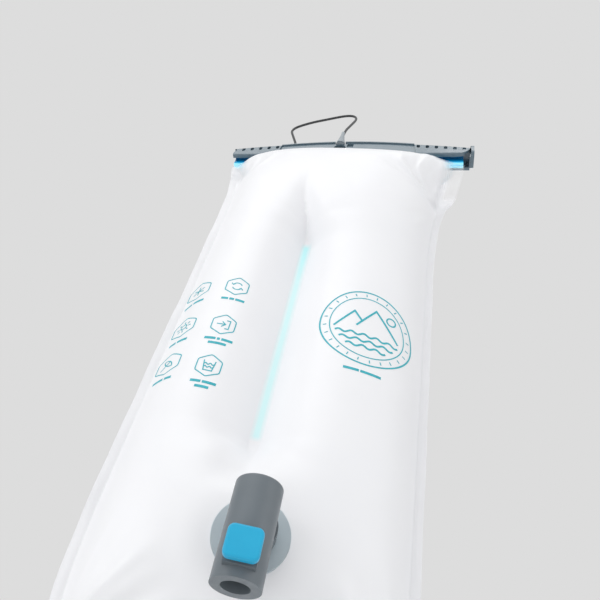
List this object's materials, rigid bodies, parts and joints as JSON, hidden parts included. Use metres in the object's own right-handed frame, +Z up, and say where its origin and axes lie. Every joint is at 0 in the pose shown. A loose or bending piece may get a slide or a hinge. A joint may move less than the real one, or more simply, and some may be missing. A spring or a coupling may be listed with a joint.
{
  "type": "hydration bladder",
  "caption": "Two-lobe film water bladder with a slide-on closure rail, a hang cord loop, an inner baffle and a quick-connect outlet with a release button and a self-closing valve.",
  "frame": {"origin": "inside top of the hang cord's loop, where a hook holds it", "axes": "+Z up as the bladder hangs, +X to the right seen from the front of the bag, +Y to the back; the rail's right end is turned 12.5 degrees to the front"},
  "size_m": [0.1866, 0.0914, 0.4501],
  "materials": {
    "rail_plastic": "moulded blue-grey plastic with a soft sheen",
    "cord": "thin braided cord",
    "ferrule_plastic": "light grey moulded plastic",
    "lip_plastic": "clear blue extruded strip",
    "film": "frosted translucent polyurethane film",
    "baffle_plastic": "clear cyan extruded strip",
    "flange_plastic": "frosted moulded flange",
    "port_plastic": "moulded blue-grey plastic",
    "valve_plastic": "light moulded plastic",
    "seal_rubber": "black silicone",
    "spring_steel": "stainless spring wire",
    "button_plastic": "blue moulded plastic"
  },
  "bodies": {
    "closure_rail": {"slider_rail": "rail_plastic", "hang_cord": "cord", "cord_ferrule": "ferrule_plastic", "cord_stopper_knot": "cord"},
    "bag": {"front_panel": "film", "back_panel": "film", "front_lip_strip": "lip_plastic", "back_lip_strip": "lip_plastic", "baffle_front_strip": "baffle_plastic", "baffle_back_strip": "baffle_plastic", "port_flange": "flange_plastic", "port_gasket": "seal_rubber", "port_retaining_ring": "port_plastic", "port_housing": "port_plastic", "housing_cap": "port_plastic", "socket_oring": "seal_rubber", "poppet_spring": "spring_steel", "button_spring": "spring_steel"},
    "valve": {"valve_poppet": "valve_plastic", "poppet_seal": "seal_rubber"},
    "button": {"release_button": "button_plastic"}
  },
  "joints": [
    {"name": "bag_slide", "type": "slide", "parent": "closure_rail", "child": "bag", "axis": [-0.9763, 0.2164, 0], "range_m": [0, 0.185]},
    {"name": "valve_travel", "type": "slide", "parent": "bag", "child": "valve", "axis": [0, 0, 1], "range_m": [0, 0.0035], "stiffness_N_per_m": 250, "springref_m": -0.004, "deforming": ["poppet_spring"]},
    {"name": "button_press", "type": "slide", "parent": "bag", "child": "button", "axis": [0, 1, 0], "range_m": [0, 0.0015], "stiffness_N_per_m": 600, "springref_m": -0.002, "deforming": ["button_spring"]}
  ]
}
